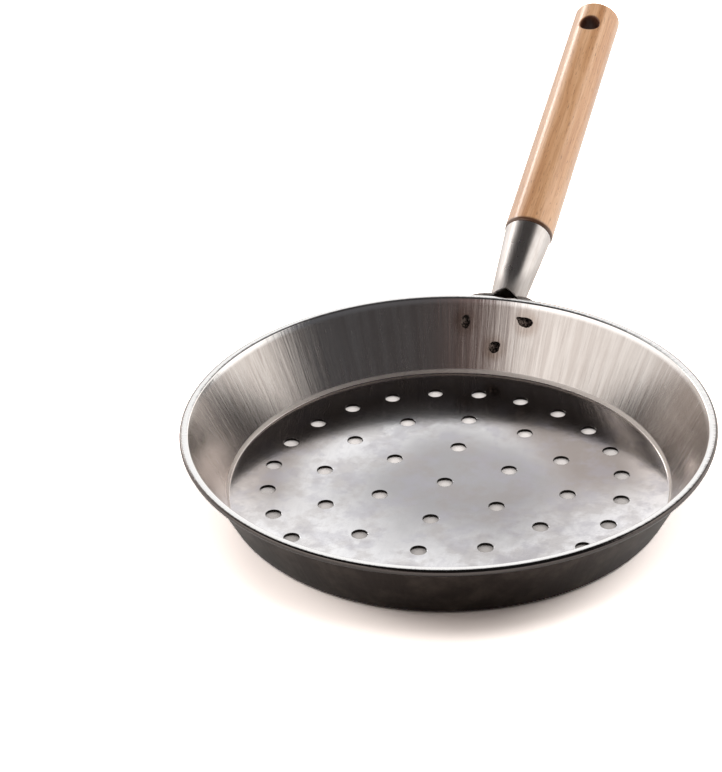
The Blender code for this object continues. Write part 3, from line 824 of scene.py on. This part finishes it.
def make_socket():
    outer_rows, inner_rows = socket_faces(columns=104, cone_steps=8, notch_steps=8,
                                          flare_steps=18, flange_steps=7)
    builder = bmesh.new()
    count_i, count_j = len(outer_rows), len(outer_rows[0])
    outer = [[builder.verts.new(point) for point in row] for row in outer_rows]
    inner = [[builder.verts.new(point) for point in row] for row in inner_rows]
    for i in range(count_i - 1):
        for j in range(count_j - 1):
            for grid in (outer, inner):
                builder.faces.new((grid[i][j], grid[i + 1][j], grid[i + 1][j + 1], grid[i][j + 1]))
        for j in (0, count_j - 1):
            builder.faces.new((outer[i][j], outer[i + 1][j], inner[i + 1][j], inner[i][j]))
    for j in range(count_j - 1):
        for i in (0, count_i - 1):
            builder.faces.new((outer[i][j], outer[i][j + 1], inner[i][j + 1], inner[i][j]))
    socket = add_piece("socket_sheet", builder, socket_steel(), "handle_socket",
                       PAN_PLACE)
    cut_weld_bores(socket)
    bore = SCREW_SHANK_RADIUS + GAP
    builder, _ = revolve([(0, -OVERRUN), (bore, -OVERRUN), (bore, SOCKET_SHEET + OVERRUN),
                          (0, SOCKET_SHEET + OVERRUN)], SCREW_BORE_SIDES)
    cut_now(socket, builder, HANDLE_PLACE @ screw_in_handle())
    even_shading(socket)


# Welds

def dome(radius, rise, base, steps):
    """Outline points of a dome that hangs below its base, from beside its pole to its edge."""
    turns = [pi / 2 * k / steps for k in range(1, steps + 1)]
    return [(radius * sin(turn), base - rise * cos(turn)) for turn in turns]


def make_weld(name, look, across, up, half_width, half_height, tail_turn, tail_share):
    """A bead with a tail and frozen ripples, a stem through both sheets and a cap outside."""
    bead_steps = 12
    inner_face, outer_face = SHEET + GAP, -(2 * GAP + SOCKET_SHEET)
    outline = [(0, outer_face - WELD_CAP_HEIGHT)]
    outline += dome(WELD_CAP_RADIUS, WELD_CAP_HEIGHT, outer_face, 6)
    outline += [(WELD_STEM_RADIUS, outer_face), (WELD_STEM_RADIUS, inner_face)]
    stem_rings = len(outline)
    turns = [pi / 2 * k / bead_steps for k in range(bead_steps)]
    outline += [(cos(turn), sin(turn)) for turn in turns] + [(0, 1)]
    builder, rings = revolve(outline, WELD_SIDES)
    seed = 7 * half_width / half_height
    for ring in rings[stem_rings:]:
        for point in ring:
            x, y, height = point.co
            turn, reach = atan2(y, x), hypot(x, y)
            rough = noise.noise(Vector((3 * cos(turn), 3 * sin(turn), seed)))
            bend = (turn - tail_turn + pi) % (2 * pi) - pi
            tail = tail_share * exp(-(bend / WELD_TAIL_SPREAD) ** 2) * reach ** 4
            ripple = 0.06 * sin(16 * reach + 2 * turn) * reach
            grow = 1 + 0.10 * rough + tail
            rise = WELD_NUGGET_HEIGHT * height * (1 + ripple + 0.25 * rough * reach)
            point.co = (x * half_width * grow, y * half_height * grow, inner_face + rise)
    bead = add_piece("weld_bead_" + name, builder, look, "weld_" + name,
                     PAN_PLACE @ weld_frame(across, up), WELD_SHARP_ANGLE)
    even_shading(bead, WELD_SHARP_ANGLE)


def make_welds():
    look = weld_steel()
    for name, weld in WELDS.items():
        make_weld(name, look, *weld)


# Handle and its screw

def handle_outline():
    """Outline of the wooden handle along the handle line, its tenon first."""
    def bore_radius(along):
        return socket_radius(along) - (SOCKET_SHEET + GAP) / cos(socket_half_angle())

    tenon_end = SOCKET_MOUTH - TENON_LENGTH
    shoulder = SOCKET_MOUTH + GAP
    dome_base = SOCKET_MOUTH + HANDLE_LENGTH - HANDLE_END_DOME
    outline = [(0, tenon_end), (bore_radius(tenon_end) - TENON_CHAMFER, tenon_end),
               (bore_radius(tenon_end + TENON_CHAMFER), tenon_end + TENON_CHAMFER),
               (bore_radius(SOCKET_MOUTH), shoulder)]
    outline += arc((HANDLE_NEAR_RADIUS - SHOULDER_ROUND, shoulder + SHOULDER_ROUND),
                   SHOULDER_ROUND, -pi / 2, 0, 8)
    outline += between(outline[-1], (HANDLE_FAR_RADIUS, dome_base), 9)
    for k in range(14):
        turn = pi / 2 * k / 14
        outline.append((HANDLE_FAR_RADIUS * cos(turn), dome_base + HANDLE_END_DOME * sin(turn)))
    return outline + [(0, dome_base + HANDLE_END_DOME)]


def hang_hole_drill():
    """The cross hole as a solid, its lips rounded where they meet the handle's round side."""
    sides, steps = HANG_HOLE_SIDES, 7
    drill = bmesh.new()

    def ring(grow, sink, side):
        points = []
        for k in range(sides):
            turn = 2 * pi * k / sides
            across = (HANG_HOLE_RADIUS + grow) * cos(turn)
            surface = sqrt(HANDLE_FAR_RADIUS ** 2 - across ** 2)
            points.append(drill.verts.new((across, (HANG_HOLE_RADIUS + grow) * sin(turn),
                                           side * (surface - sink))))
        return points

    rings = []
    for side in (-1, 1):
        turns = [pi / 2 * k / steps for k in range(steps + 1)]
        lip = [ring(HANG_HOLE_ROUND * (1 - cos(turn)), HANG_HOLE_ROUND * (1 - sin(turn)), side)
               for turn in turns]
        lip.append(ring(HANG_HOLE_ROUND, -OVERRUN, side))
        rings = lip[::-1] if side < 0 else rings + lip
    for lower, upper in zip(rings, rings[1:]):
        for k in range(sides):
            drill.faces.new((lower[k], lower[(k + 1) % sides], upper[(k + 1) % sides], upper[k]))
    drill.faces.new(rings[0])
    drill.faces.new(rings[-1])
    return drill


def make_handle():
    builder, _ = revolve(handle_outline(), HANDLE_SIDES)
    handle = add_piece("beech_handle", builder, beech(), "wooden_handle", HANDLE_PLACE)
    along = SOCKET_MOUTH + HANDLE_LENGTH - HANG_HOLE_FROM_END
    cut_now(handle, hang_hole_drill(),
            HANDLE_PLACE @ Matrix.Translation((0, 0, along)) @ Matrix.Rotation(pi / 2, 4, "X"))
    bore, depth = SCREW_SHANK_RADIUS + GAP, SCREW_LENGTH + GAP
    builder, _ = revolve([(0, -OVERRUN), (bore, -OVERRUN), (bore, depth - SCREW_POINT),
                          (0, depth)], SCREW_BORE_SIDES)
    cut_now(handle, builder, HANDLE_PLACE @ screw_in_handle())
    even_shading(handle)


def make_screw():
    """Slotted round head, a shank with a shallow thread in the wood, and a point."""
    foot = -GAP
    outline = [(0, foot - SCREW_HEAD_HEIGHT)]
    outline += dome(SCREW_HEAD_RADIUS, SCREW_HEAD_HEIGHT, foot, 8)
    outline += [(SCREW_SHANK_RADIUS, foot), (SCREW_SHANK_RADIUS, SOCKET_SHEET)]
    pitch = (SCREW_LENGTH - SCREW_POINT - SOCKET_SHEET) / SCREW_THREADS
    for k in range(SCREW_THREADS):
        outline += [(SCREW_ROOT_SHARE * SCREW_SHANK_RADIUS, SOCKET_SHEET + pitch * (k + 0.45)),
                    (SCREW_SHANK_RADIUS, SOCKET_SHEET + pitch * (k + 1))]
    outline += [(0, SCREW_LENGTH)]
    builder, _ = revolve(outline, SCREW_SIDES)
    screw = add_piece("socket_screw", builder, plain_steel(), "handle_screw",
                      HANDLE_PLACE @ screw_in_handle())
    slot = bmesh.new()
    bmesh.ops.create_cube(slot, size=1)
    size = Vector((2 * SCREW_HEAD_RADIUS + OVERRUN, SCREW_SLOT_WIDTH, 2 * SCREW_SLOT_DEPTH))
    bmesh.ops.scale(slot, vec=size, verts=slot.verts)
    top = Matrix.Translation((0, 0, foot - SCREW_HEAD_HEIGHT))
    cut_now(screw, slot, HANDLE_PLACE @ screw_in_handle() @ top)
    even_shading(screw)


# Ground, world and lamps

def make_ground():
    """The stage: the camera sees it white, with the object's shadow; under the pan, seen through
    its holes, it is darkened as a painted shadow, deeper at the front. To every other ray it is a
    plain pale floor."""
    builder = bmesh.new()
    bmesh.ops.create_grid(builder, x_segments=1, y_segments=1, size=GROUND_HALF_WIDTH)
    mesh = bpy.data.meshes.new("floor")
    builder.to_mesh(mesh)
    builder.free()
    ground = bpy.data.objects.new("floor", mesh)
    ground.location = (0, 0, -GROUND_DROP)
    bpy.context.collection.objects.link(ground)

    made, n = new_material("floor_look")
    seen = n.node("ShaderNodeLightPath").outputs["Is Camera Ray"]
    x, y, _ = n.split(n.node("ShaderNodeTexCoord").outputs["Object"])
    y = n.less(y, PAN_PLACE.translation.y)
    # Painted shadow: under the pan the ground is darker, more so towards the front
    under = n.ease(n.length(x, y), 0.118, 0.112)
    towards_back = n.ease(n.along(x, y, TO_BACK), -0.080, 0.060)
    below = n.mix(towards_back, GROUND_PAINTED_SHADOW_FRONT, GROUND_PAINTED_SHADOW_BACK)
    plain = n.node("ShaderNodeBsdfDiffuse", Color=GROUND_PLAIN).outputs[0]
    white = n.node("ShaderNodeBsdfDiffuse", Color=n.mix(under, GROUND_ROUND, below)).outputs[0]
    both = n.node("ShaderNodeMixShader", i0=seen, i1=plain, i2=white).outputs[0]
    n.node("ShaderNodeOutputMaterial", Surface=both)
    mesh.materials.append(made)


def make_world():
    """A studio: pale screens low down on the left, behind and on the right, a dark room above
    them and in front. It lights the rest evenly, and the camera sees it white."""
    world = bpy.data.worlds.new("studio")
    bpy.context.scene.world = world
    world.use_nodes = True
    n = Nodes(world.node_tree)
    path = n.node("ShaderNodeLightPath")
    direction = n.node("ShaderNodeTexCoord").outputs["Generated"]
    x, y, z = n.split(n.stretch(direction, (1, 1, 1), rotation=(0, 0, -VIEW_TURN)))
    azimuth = n.math("MULTIPLY_ADD", n.math("ARCTAN2", x, n.product(y, -1.0)), 0.5 / pi, 0.5)
    around = n.ramp(azimuth, SCREENS)
    tops = n.ramp(azimuth, [(place, sin(radians(top))) for place, top in SCREEN_TOPS])
    screens = n.ease(n.less(z, tops), SCREEN_BLUR, -SCREEN_BLUR)
    room = n.mix(screens, ROOM, around)
    sky = n.mix(n.ease(n.math("MULTIPLY_ADD", y, 0.6, z), -0.1, 1.0), EVEN_LOW, EVEN_HIGH)
    even = n.node("ShaderNodeBackground", Color=sky, Strength=EVEN_LIGHT).outputs[0]
    mirrored = n.node("ShaderNodeBackground", Color=room, Strength=MIRRORED_LIGHT).outputs[0]
    white = n.node("ShaderNodeBackground", Color=(1, 1, 1), Strength=1.0).outputs[0]
    glossy = n.math("MAXIMUM", path.outputs["Is Glossy Ray"], path.outputs["Is Transmission Ray"])
    first = n.node("ShaderNodeMixShader", i0=glossy, i1=even, i2=mirrored).outputs[0]
    last = n.node("ShaderNodeMixShader", i0=path.outputs["Is Camera Ray"], i1=first, i2=white)
    n.node("ShaderNodeOutputWorld", Surface=last.outputs[0])


def make_lamp(name, azimuth, elevation, distance, size, power, colour, mirrored):
    """A soft area lamp; azimuth 0 stands at the camera and 90 on its right."""
    a, e = radians(azimuth) + VIEW_TURN, radians(elevation)
    away = Vector((sin(a) * cos(e), -cos(a) * cos(e), sin(e)))
    data = bpy.data.lights.new(name, "AREA")
    data.shape = "RECTANGLE"
    data.size, data.size_y = size
    data.energy = power
    data.color = colour
    lamp = bpy.data.objects.new(name, data)
    lamp.location = LAMP_AIM + away * distance
    lamp.rotation_mode = "QUATERNION"
    lamp.rotation_quaternion = (-away).to_track_quat("-Z", "Y")
    lamp.visible_glossy = mirrored
    bpy.context.collection.objects.link(lamp)


make_camera()
bpy.context.scene.view_settings.view_transform = "Standard"
make_world()
make_ground()
for lamp_name, lamp in LAMPS.items():
    make_lamp(lamp_name, *lamp)
make_pan()
make_socket()
make_welds()
make_handle()
make_screw()
